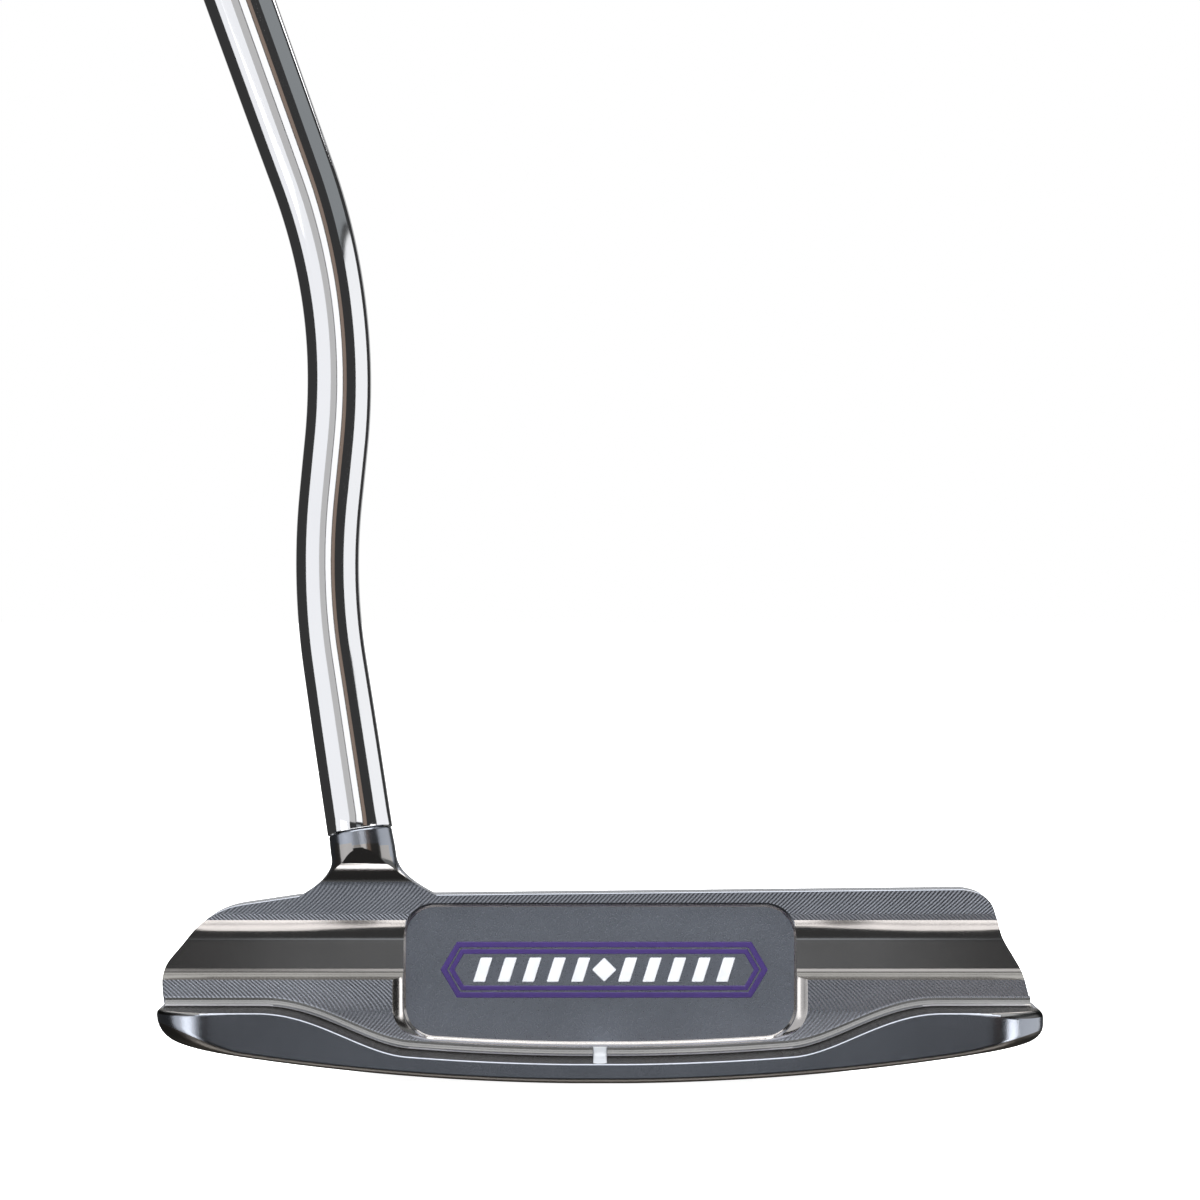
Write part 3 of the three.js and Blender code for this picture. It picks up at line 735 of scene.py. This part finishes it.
HEAD_FINISHES_AND_PAINTED_LIGHT = [
    # name, colour, roughness, grain, grain's height, arcs' pitch, arcs' height, brightness at a low angle
    ("steel_blasted", (0.35, 0.372, 0.42), 0.21, 7.0, 0.012, 1.0, 0.0, 1.0),
    ("steel_scalloped", (0.44, 0.465, 0.53), 0.28, 3.0, 0.003, 0.62, 0.012, 1.0),
    ("steel_smooth_cut", (0.40, 0.385, 0.375), 0.15, 14.0, 0.0006, 1.0, 0.0, 1.0),
    ("steel_face", (0.39, 0.41, 0.46), 0.34, 6.0, 0.004, 0.8, 0.02, 1.0),
    ("steel_ledge", (0.42, 0.40, 0.385), 0.20, 14.0, 0.0006, 1.0, 0.0, 0.3),
    ("steel_pocket", (0.38, 0.41, 0.48), 0.29, 7.0, 0.018, 1.0, 0.0, 1.0),
    # The sole's edge: the same steel painted darker, as painted shade.
    ("steel_sole_painted_shade", (0.12, 0.11, 0.10), 0.40, 9.0, 0.004, 1.0, 0.0, 1.0),
    # The channel's upper fillet: the smooth cut painted bright, as a painted highlight.
    ("steel_upper_fillet_painted_light", (0.72, 0.71, 0.71), 0.13, 14.0, 0.0006, 1.0, 0.0, 1.0),
    # The channel's lower fillet: the smooth cut painted dark, as painted shade.
    ("steel_lower_fillet_painted_shade", (0.13, 0.126, 0.12), 0.22, 14.0, 0.0006, 1.0, 0.0, 1.0),
    # The flange's fillet: the steel painted dark, as painted shade.
    ("steel_ledge_fillet_painted_shade", (0.13, 0.13, 0.13), 0.22, 14.0, 0.0006, 1.0, 0.0, 0.3),
]
# Clearing the materials sets every face back to the first, so the faces get their finish, or their painted
# light or shade, after it.
head.data.materials.clear()
for finish in HEAD_FINISHES_AND_PAINTED_LIGHT:
    head.data.materials.append(dark_steel(*finish))
for polygon in head.data.polygons:
    polygon.material_index = finish_or_painted_light_of(polygon.center, polygon.normal)
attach(head, "root")
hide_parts("head_body")

# The badge is enamel that stands on the pocket's floor: two purple outlines, one inside the other, and a row
# of white marks. The enamel is baked on, and is round at its edges.
BADGE_X, BADGE_Z = 0.6, 14.87
BADGE_HALF_LENGTH, BADGE_HALF_HEIGHT, BADGE_TIP = 23.4, 4.0, 2.35
LINE_HEIGHT, LINE_EDGE = 0.3, 0.13


def enamel(name, colour, roughness):
    """Baked enamel: one colour with a faint orange peel, and a little duller where it is thin."""
    material = bpy.data.materials.new(name)
    material.use_nodes = True
    nodes = material.node_tree.nodes
    links = material.node_tree.links
    nodes.clear()
    output = nodes.new("ShaderNodeOutputMaterial")
    output.label = "enamel surface"
    output.location = (900, 0)
    shader = nodes.new("ShaderNodeBsdfPrincipled")
    shader.label = "enamel"
    shader.location = (600, 0)
    shader.inputs["Coat Weight"].default_value = 0.3
    shader.inputs["Coat Roughness"].default_value = 0.2
    place = nodes.new("ShaderNodeTexCoord")
    place.label = "place on the badge"
    place.location = (-600, 0)
    tone_frame = nodes.new("NodeFrame")
    tone_frame.label = "colour depth"
    depth = nodes.new("ShaderNodeTexNoise")
    depth.label = "thick and thin fill"
    depth.location = (-300, 200)
    depth.parent = tone_frame
    depth.inputs["Scale"].default_value = 600.0
    tone = nodes.new("ShaderNodeMix")
    tone.label = "colour by depth"
    tone.data_type = "RGBA"
    tone.location = (0, 200)
    tone.parent = tone_frame
    tone.inputs[6].default_value = (*[c * 0.85 for c in colour], 1.0)
    tone.inputs[7].default_value = (*[min(1.0, c * 1.12) for c in colour], 1.0)
    gloss_frame = nodes.new("NodeFrame")
    gloss_frame.label = "orange peel"
    peel = nodes.new("ShaderNodeTexNoise")
    peel.label = "orange peel"
    peel.location = (-300, -200)
    peel.parent = gloss_frame
    peel.inputs["Scale"].default_value = 2500.0
    dull = nodes.new("ShaderNodeMapRange")
    dull.label = "duller on the peel"
    dull.location = (0, -100)
    dull.parent = gloss_frame
    dull.inputs["To Min"].default_value = roughness - 0.05
    dull.inputs["To Max"].default_value = roughness + 0.08
    ripple = nodes.new("ShaderNodeBump")
    ripple.label = "peel height"
    ripple.location = (0, -300)
    ripple.parent = gloss_frame
    ripple.inputs["Distance"].default_value = 0.00001
    links.new(place.outputs["Object"], depth.inputs["Vector"])
    links.new(place.outputs["Object"], peel.inputs["Vector"])
    links.new(depth.outputs["Fac"], tone.inputs["Factor"])
    links.new(tone.outputs[2], shader.inputs["Base Color"])
    links.new(peel.outputs["Fac"], dull.inputs["Value"])
    links.new(dull.outputs["Result"], shader.inputs["Roughness"])
    links.new(peel.outputs["Fac"], ripple.inputs["Height"])
    links.new(ripple.outputs["Normal"], shader.inputs["Normal"])
    links.new(shader.outputs["BSDF"], output.inputs["Surface"])
    return material


def rounded(piece, width, segments=3):
    edge = piece.modifiers.new("rounded_edge", "BEVEL")
    edge.width = width * MM
    edge.segments = segments
    edge.angle_limit = math.radians(30.0)
    piece.data.shade_smooth()
    weight = piece.modifiers.new("flat_faces_stay_flat", "WEIGHTED_NORMAL")
    weight.keep_sharp = True


def hexagon(inset):
    """The badge's outline, moved in by an even distance."""
    slope = math.atan2(BADGE_HALF_HEIGHT, BADGE_TIP)
    high = BADGE_HALF_HEIGHT - inset
    long = BADGE_HALF_LENGTH - inset / math.sin(slope)
    corner = long - high / math.tan(slope)
    points = [(long, 0), (corner, high), (-corner, high), (-long, 0), (-corner, -high), (corner, -high)]
    return [(BADGE_X + x, BADGE_Z + z) for x, z in points]


def around(name, rings):
    """A closed ring-shaped body: each ring joins the next, and the last joins the first."""
    points = [p for ring in rings for p in ring]
    return closed(name, points, wall_faces(len(rings[0]), len(rings), closes=True))


def badge_line(name, outside, inside):
    """A closed ring between two hexagons, from the pocket's floor up."""
    top = POCKET_FLOOR_Y - LINE_HEIGHT
    rings = [
        [(x, POCKET_FLOOR_Y, z) for x, z in hexagon(outside)],
        [(x, top, z) for x, z in hexagon(outside)],
        [(x, top, z) for x, z in hexagon(inside)],
        [(x, POCKET_FLOOR_Y, z) for x, z in hexagon(inside)],
    ]
    line = around(name, rings)
    rounded(line, LINE_EDGE)
    return line


purple = enamel("purple_enamel", (0.026, 0.007, 0.112), 0.38)
outer_line = badge_line("badge_line_outer", 0.0, 0.8)
outer_line.data.materials.append(purple)
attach(outer_line, "root")
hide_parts("badge_outline_outer")
inner_line = badge_line("badge_line_inner", 1.05, 1.73)
inner_line.data.materials.append(purple)
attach(inner_line, "root")
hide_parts("badge_outline_inner")

# The white marks inside the purple lines are plain slanted bars on either side of a lozenge. They are the
# same baked enamel, a little thicker.
white = enamel("white_enamel", (0.50, 0.52, 0.55), 0.5)
MARK_HALF_HEIGHT = 1.75
MARK_THICKNESS, MARK_EDGE = 0.35, 0.3
BAR_PITCH, BAR_WIDTH, BAR_LEAN, FIRST_BAR = 3.5, 1.7, 1.1, 3.35


def badge_mark(name, node, outline):
    points = [(BADGE_X + x, BADGE_Z + z) for x, z in outline]
    mark = pushed_along_y(name, points, POCKET_FLOOR_Y - MARK_THICKNESS, POCKET_FLOOR_Y)
    rounded(mark, MARK_EDGE, 4)
    mark.data.materials.append(white)
    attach(mark, "root")
    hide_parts(node)


high = MARK_HALF_HEIGHT
badge_mark("badge_mark_lozenge", "badge_lozenge", [(high, 0.0), (0.0, high), (-high, 0.0), (0.0, -high)])
for side, end in ((-1, "heel"), (1, "toe")):
    for index in range(5):
        x = side * (FIRST_BAR + BAR_PITCH * index)
        left, right, lean = x - BAR_WIDTH / 2, x + BAR_WIDTH / 2, BAR_LEAN / 2
        bar = [(left - lean, -high), (right - lean, -high), (right + lean, high), (left + lean, high)]
        badge_mark(f"badge_mark_{end}_{index + 1}", f"badge_bar_{end}_{index + 1}", bar)

# The sight mark is white paint, filled into a slot that the mill cuts in the head: it lies along the
# flange's top and turns up the blade.
PAINT_GAP = 0.04
PAINT_THICKNESS = 0.3
PAINT_TURN = 0.7  # the radius of the paint's skin where it turns up
PAINT_TOP_Z = 4.05
half_paint = SIGHT_WIDTH / 2 - PAINT_GAP
wall = BACK_Y + SIGHT_DEPTH
skin = wall - PAINT_THICKNESS
floor_z = FLANGE_THICKNESS - SIGHT_DEPTH
turn_z = floor_z + 1.0
paint_side = [(0.0, floor_z), (wall, floor_z), (wall, PAINT_TOP_Z), (skin, PAINT_TOP_Z), (skin, turn_z)]
paint_side += [
    (skin - PAINT_TURN + PAINT_TURN * math.cos(a), turn_z + PAINT_TURN * math.sin(a))
    for a in np.linspace(0.0, -math.pi / 2, 7)[1:]
]
paint_side += [(0.0, floor_z + PAINT_THICKNESS)]
sight = pushed_along_x("sight_mark", paint_side, -half_paint, half_paint)
plan = sight_plan(half_paint, SIGHT_END_Y + PAINT_GAP)
plan_rings = [[(x, y, z) for x, y in plan] for z in (0.0, SIGHT_CUT_TOP)]
join_or_cut(sight, lofted("sight_plan", plan_rings), "INTERSECT")
rounded(sight, 0.08)
sight.data.materials.clear()
sight.data.materials.append(white)
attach(sight, "root")
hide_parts("sight_mark_paint")

# The shaft is a drawn steel tube, tapered without steps, bent twice near the head and chrome plated. Bending
# flattens it slightly. It slides over the neck's post.
LIE = math.radians(70.2)
LOWER_TANGENT, UPPER_TANGENT = 12.0, 20.0
UPPER_LENGTH = 769.0
PAST_BUTT = 6.0  # of axis, for the grip's end cap
TIP_RADIUS, BUTT_RADIUS = 4.7, 7.5
SHAFT_WALL = 0.6
TIP_GAP = 0.15
PARALLEL_TIP = 60.0
BEND_FLATTENING = 0.035
BEND_REACH = 17.0


def shaft_line():
    """Points along the shaft's axis from the neck's rim past the butt, and their distances from the rim."""
    middle = (UPPER_BEND - LOWER_BEND).normalized()
    lower = (LOWER_BEND - RIM).normalized()
    upper = Vector((-math.cos(LIE), 0.0, math.sin(LIE)))
    stops = [
        RIM,
        LOWER_BEND - lower * LOWER_TANGENT,
        LOWER_BEND + middle * LOWER_TANGENT,
        UPPER_BEND - middle * UPPER_TANGENT,
        UPPER_BEND + upper * UPPER_TANGENT,
        UPPER_BEND + upper * (UPPER_LENGTH + PAST_BUTT),
    ]
    points = [RIM]

    def straight(start, end, steps):
        points.extend(start.lerp(end, i / steps) for i in range(1, steps + 1))

    def bend(start, corner, end, steps):
        for i in range(1, steps + 1):
            t = i / steps
            points.append(start * (1 - t) ** 2 + corner * (2 * t * (1 - t)) + end * t * t)

    straight(stops[0], stops[1], 12)
    bend(stops[1], LOWER_BEND, stops[2], 40)
    straight(stops[2], stops[3], 4)
    bend(stops[3], UPPER_BEND, stops[4], 60)
    straight(stops[4], stops[5], 100)
    line = np.array([tuple(p) for p in points])
    steps = np.linalg.norm(np.diff(line, axis=0), axis=1)
    return line, np.concatenate([[0.0], np.cumsum(steps)])


LINE, ALONG = shaft_line()
BUTT = ALONG[-1] - PAST_BUTT
bend_places = []
for corner in (LOWER_BEND, UPPER_BEND):
    gaps = np.linalg.norm(LINE - np.array(tuple(corner)), axis=1)
    bend_places.append(ALONG[np.argmin(gaps)])


def on_axis(distance):
    return np.array([np.interp(distance, ALONG, LINE[:, k]) for k in range(3)])


def on_shaft(distance, toward_front, sideways):
    """A point beside the shaft's axis: toward_front is the way that the grip's flat front faces."""
    tangent = Vector(on_axis(distance + 0.5) - on_axis(max(0.0, distance - 0.5))).normalized()
    across = (Vector((0.0, 1.0, 0.0)) - tangent * tangent.y).normalized()
    front = across.cross(tangent)
    return tuple(Vector(on_axis(distance)) + front * toward_front + across * sideways)


def shaft_radius(distance):
    taper = max(0.0, distance - PARALLEL_TIP) / (BUTT - PARALLEL_TIP)
    return TIP_RADIUS + (BUTT_RADIUS - TIP_RADIUS) * taper


def flattened_by_bend(distance):
    nearness = sum(math.exp(-(((distance - place) / BEND_REACH) ** 2)) for place in bend_places)
    return 1.0 - BEND_FLATTENING * nearness


ROUND = 96
TURNS = [i / ROUND * 2 * math.pi for i in range(ROUND)]
stations = [TIP_GAP, *np.arange(2.0, 150.0, 1.5), *np.linspace(160.0, BUTT, 40)]
rings = []
for distance in stations:
    radius = shaft_radius(distance)
    squeeze = flattened_by_bend(distance)
    rings.append([on_shaft(distance, radius * squeeze * math.cos(a), radius * math.sin(a)) for a in TURNS])
shaft_points = [(x * MM, (y + REAR) * MM, z * MM) for ring in rings for x, y, z in ring]
shaft = new_mesh_object("shaft_tube", shaft_points, wall_faces(ROUND, len(rings)))
work = bmesh.new()
work.from_mesh(shaft.data)
bmesh.ops.recalc_face_normals(work, faces=work.faces)
MIDWAY = 0.3  # metres up, where the tube is straight
middle_face = min(work.faces, key=lambda f: abs(f.calc_center_median().z - MIDWAY))
outward = middle_face.calc_center_median() / MM - Vector((0.0, REAR, 0.0))
axis_point = LINE[np.argmin(np.abs(LINE[:, 2] - outward.z))]
if middle_face.normal.dot(outward - Vector(axis_point)) < 0:
    bmesh.ops.reverse_faces(work, faces=work.faces)
work.to_mesh(shaft.data)
work.free()
shaft.data.shade_smooth()
tube_wall = shaft.modifiers.new("tube_wall", "SOLIDIFY")
tube_wall.thickness = SHAFT_WALL * MM
tube_wall.offset = -1.0
tube_wall.use_even_offset = True
edge = shaft.modifiers.new("cut_ends", "BEVEL")
edge.width = 0.1 * MM
edge.segments = 2
edge.angle_limit = math.radians(60.0)

chrome = bpy.data.materials.new("chrome_plate")
chrome.use_nodes = True
nodes = chrome.node_tree.nodes
links = chrome.node_tree.links
nodes.clear()
chrome_output = nodes.new("ShaderNodeOutputMaterial")
chrome_output.label = "shaft surface"
chrome_output.location = (900, 0)
chrome_shader = nodes.new("ShaderNodeBsdfPrincipled")
chrome_shader.label = "bright chrome"
chrome_shader.location = (600, 0)
chrome_shader.inputs["Metallic"].default_value = 1.0
chrome_place = nodes.new("ShaderNodeTexCoord")
chrome_place.label = "place on the shaft"
chrome_place.location = (-600, 0)
plate_frame = nodes.new("NodeFrame")
plate_frame.label = "plate shade"
plate_cloud = nodes.new("ShaderNodeTexNoise")
plate_cloud.label = "slow change of the plate"
plate_cloud.location = (-300, 250)
plate_cloud.parent = plate_frame
plate_cloud.inputs["Scale"].default_value = 40.0
plate_tone = nodes.new("ShaderNodeMix")
plate_tone.label = "plate colour"
plate_tone.data_type = "RGBA"
plate_tone.location = (0, 250)
plate_tone.parent = plate_frame
plate_tone.inputs[6].default_value = (0.80, 0.80, 0.82, 1.0)
plate_tone.inputs[7].default_value = (0.88, 0.885, 0.90, 1.0)
wear_frame = nodes.new("NodeFrame")
wear_frame.label = "hairlines from wiping"
hairline = nodes.new("ShaderNodeTexNoise")
hairline.label = "fine hairlines"
hairline.location = (-300, -150)
hairline.parent = wear_frame
hairline.inputs["Scale"].default_value = 900.0
hairline_gloss = nodes.new("ShaderNodeMapRange")
hairline_gloss.label = "hairlines dull the gloss"
hairline_gloss.location = (0, -150)
hairline_gloss.parent = wear_frame
hairline_gloss.inputs["To Min"].default_value = 0.05
hairline_gloss.inputs["To Max"].default_value = 0.10
links.new(chrome_place.outputs["Object"], plate_cloud.inputs["Vector"])
links.new(chrome_place.outputs["Object"], hairline.inputs["Vector"])
links.new(plate_cloud.outputs["Fac"], plate_tone.inputs["Factor"])
links.new(plate_tone.outputs[2], chrome_shader.inputs["Base Color"])
links.new(hairline.outputs["Fac"], hairline_gloss.inputs["Value"])
links.new(hairline_gloss.outputs["Result"], chrome_shader.inputs["Roughness"])
links.new(chrome_shader.outputs["BSDF"], chrome_output.inputs["Surface"])
shaft.data.materials.append(chrome)
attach(shaft, "root")
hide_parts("shaft")


# Epoxy fills the gap between the post and the shaft, and double-sided tape holds the grip. Both keep their
# CAD shape, because they are plain sleeves that the shaft and the grip hide.
def plain_coat(name, colour, roughness, grain, height):
    """A soft or matt material with one fine grain."""
    material = bpy.data.materials.new(name)
    material.use_nodes = True
    nodes = material.node_tree.nodes
    links = material.node_tree.links
    nodes.clear()
    output = nodes.new("ShaderNodeOutputMaterial")
    output.label = "surface"
    output.location = (900, 0)
    shader = nodes.new("ShaderNodeBsdfPrincipled")
    shader.label = "matt body"
    shader.location = (600, 0)
    shader.inputs["Specular IOR Level"].default_value = 0.2
    place = nodes.new("ShaderNodeTexCoord")
    place.label = "place on the piece"
    place.location = (-600, 0)
    tone_frame = nodes.new("NodeFrame")
    tone_frame.label = "shade"
    cloud = nodes.new("ShaderNodeTexNoise")
    cloud.label = "slow change of shade"
    cloud.location = (-300, 250)
    cloud.parent = tone_frame
    cloud.inputs["Scale"].default_value = 60.0
    tone = nodes.new("ShaderNodeMix")
    tone.label = "light and dark"
    tone.data_type = "RGBA"
    tone.location = (0, 250)
    tone.parent = tone_frame
    tone.inputs[6].default_value = (*[c * 0.8 for c in colour], 1.0)
    tone.inputs[7].default_value = (*[min(1.0, c * 1.25) for c in colour], 1.0)
    grain_frame = nodes.new("NodeFrame")
    grain_frame.label = "grain"
    speckle = nodes.new("ShaderNodeTexNoise")
    speckle.label = "fine grain"
    speckle.location = (-300, -100)
    speckle.parent = grain_frame
    speckle.inputs["Scale"].default_value = grain
    dull = nodes.new("ShaderNodeMapRange")
    dull.label = "grain changes the gloss"
    dull.location = (0, -100)
    dull.parent = grain_frame
    dull.inputs["To Min"].default_value = roughness - 0.08
    dull.inputs["To Max"].default_value = min(1.0, roughness + 0.08)
    relief = nodes.new("ShaderNodeBump")
    relief.label = "grain height"
    relief.location = (0, -300)
    relief.parent = grain_frame
    relief.inputs["Distance"].default_value = height * MM
    links.new(place.outputs["Object"], cloud.inputs["Vector"])
    links.new(place.outputs["Object"], speckle.inputs["Vector"])
    links.new(cloud.outputs["Fac"], tone.inputs["Factor"])
    links.new(tone.outputs[2], shader.inputs["Base Color"])
    links.new(speckle.outputs["Fac"], dull.inputs["Value"])
    links.new(dull.outputs["Result"], shader.inputs["Roughness"])
    links.new(speckle.outputs["Fac"], relief.inputs["Height"])
    links.new(relief.outputs["Normal"], shader.inputs["Normal"])
    links.new(shader.outputs["BSDF"], output.inputs["Surface"])
    return material


for node, colour, grain in (
    ("shaft_epoxy", (0.45, 0.36, 0.22), 800.0),
    ("grip_tape", (0.62, 0.55, 0.40), 1500.0),
):
    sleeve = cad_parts[node]
    sleeve.data.materials.clear()
    sleeve.data.materials.append(plain_coat(node + "_coat", colour, 0.6, grain, 0.02))

# The grip is moulded rubber: a flat front for the thumbs, a round back that swells under the upper hand, and
# shallow grooves round its sides. It slides on over the wet tape, and the tape holds it.
GRIP_LENGTH = 267.0
GRIP_FLAT = 9.2
GRIP_BORE = 0.5
GRIP_SHARES = [0.0, 0.03, 0.3, 0.55, 0.75, 0.88, 0.96, 1.0]
GRIP_RADII = [9.6, 10.2, 10.8, 11.4, 13.2, 14.4, 13.8, 12.2]
GRIP_SHRINK = 0.995  # keeps the skin within the grip's full size
LIP_LENGTH, LIP_DEPTH = 0.6, 0.5
GROOVE_PITCH = 6.0
GROOVE_DEPTH = 0.45
GROOVE_SHARE = 0.45  # the part of the wave's height that cuts into the skin
GROOVES_FROM_MOUTH, GROOVES_FROM_BUTT = 12.0, 14.0
GRIP_CURVE = through(list(zip(GRIP_SHARES, GRIP_RADII)), 8)
rubber = plain_coat("black_rubber", (0.011, 0.011, 0.012), 0.55, 2600.0, 0.03)


def grip_radius(share):
    return float(np.interp(share, [c[0] for c in GRIP_CURVE], [c[1] for c in GRIP_CURVE])) * GRIP_SHRINK


def flat_front(radius, turn):
    """How far the grip's skin is from the axis towards its front: flat, with rounded edges."""
    toward = radius * math.cos(turn)
    soft = 0.35
    return toward - soft * math.log1p(math.exp((toward - GRIP_FLAT) / soft))


def grip_body():
    rings = []
    mouth = BUTT - GRIP_LENGTH
    outside = [0.0, *np.arange(LIP_LENGTH, GRIP_LENGTH - 1.0, 1.0), GRIP_LENGTH]
    for along in outside:
        radius = grip_radius(along / GRIP_LENGTH)
        lip = LIP_DEPTH * (1.0 - min(1.0, along / LIP_LENGTH))
        groove = 0.0
        if GROOVES_FROM_MOUTH < along < GRIP_LENGTH - GROOVES_FROM_BUTT:
            wave = math.cos(2 * math.pi * along / GROOVE_PITCH)
            groove = max(0.0, wave - (1.0 - GROOVE_SHARE)) / GROOVE_SHARE
        ring = []
        for a in TURNS:
            on_side = smooth((1.0 - abs(math.cos(a))) * 2.2 - 0.4)
            r = radius - lip - GROOVE_DEPTH * groove * on_side
            ring.append(on_shaft(mouth + along, flat_front(r, a), r * math.sin(a)))
        rings.append(ring)
    for along in (GRIP_LENGTH, 0.0):
        radius = shaft_radius(mouth + along) + GRIP_BORE
        rings.append([on_shaft(mouth + along, radius * math.cos(a), radius * math.sin(a)) for a in TURNS])
    return around("grip_rubber", rings)


grip = grip_body()
grip.data.shade_smooth()
grip.data.set_sharp_from_angle(angle=math.radians(50.0))
grip.data.materials.append(rubber)
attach(grip, "root")
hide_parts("grip")

# The end cap is a separate moulding of the same rubber, bonded to the grip's end. The vent in its middle
# lets the air out when the grip is slid on.
CAP_GAP, CAP_THICKNESS, CAP_VENT = 0.15, 3.0, 1.0
cap_profile = [(12.1, 0.0), (12.05, 1.2), (11.8, 2.0), (11.2, 2.6), (10.3, 2.9), (9.4, CAP_THICKNESS)]
cap_profile += [(8.8, 2.75), (8.2, 2.75), (7.6, CAP_THICKNESS), (1.6, CAP_THICKNESS)]
cap_profile += [(1.15, 2.8), (CAP_VENT, 2.4), (CAP_VENT, 0.0)]
cap_rings = []
for radius, lift in cap_profile:
    level = BUTT + CAP_GAP + lift
    cap_rings.append([on_shaft(level, flat_front(radius, a), radius * math.sin(a)) for a in TURNS])
cap = around("grip_end_cap", cap_rings)
cap.data.shade_smooth()
cap.data.set_sharp_from_angle(angle=math.radians(50.0))
cap.data.materials.append(rubber)
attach(cap, "root")
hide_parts("grip_cap")
